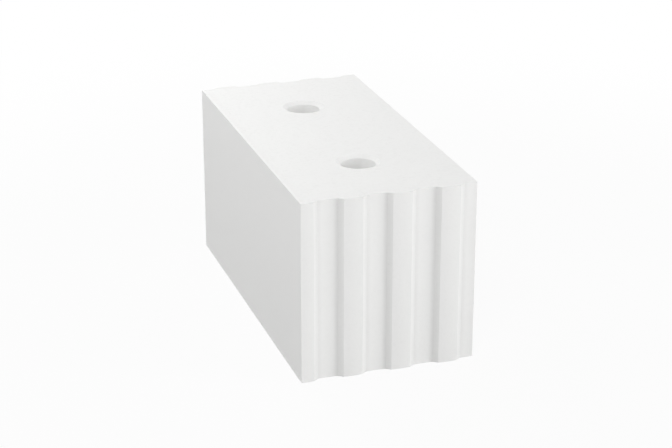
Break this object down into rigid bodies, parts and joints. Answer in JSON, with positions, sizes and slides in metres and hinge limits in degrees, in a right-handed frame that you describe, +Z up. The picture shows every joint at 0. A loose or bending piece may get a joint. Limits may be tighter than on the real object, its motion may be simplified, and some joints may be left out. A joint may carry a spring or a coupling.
{
  "type": "calcium silicate block",
  "caption": "Solid white sand-lime wall block with tongue-and-groove ends that interlock and countersunk round grip holes in its upper bed face.",
  "frame": {"origin": "centre of the lower bed face, on the floor that the block lies on", "axes": "+Z up through the bed faces, +Y along the block's length from one interlocking end to the other, +X across its width through the wall"},
  "size_m": [0.24, 0.498, 0.248],
  "materials": {
    "sand_lime": "matte"
  },
  "bodies": {
    "root": {"block": "sand_lime"}
  },
  "joints": []
}
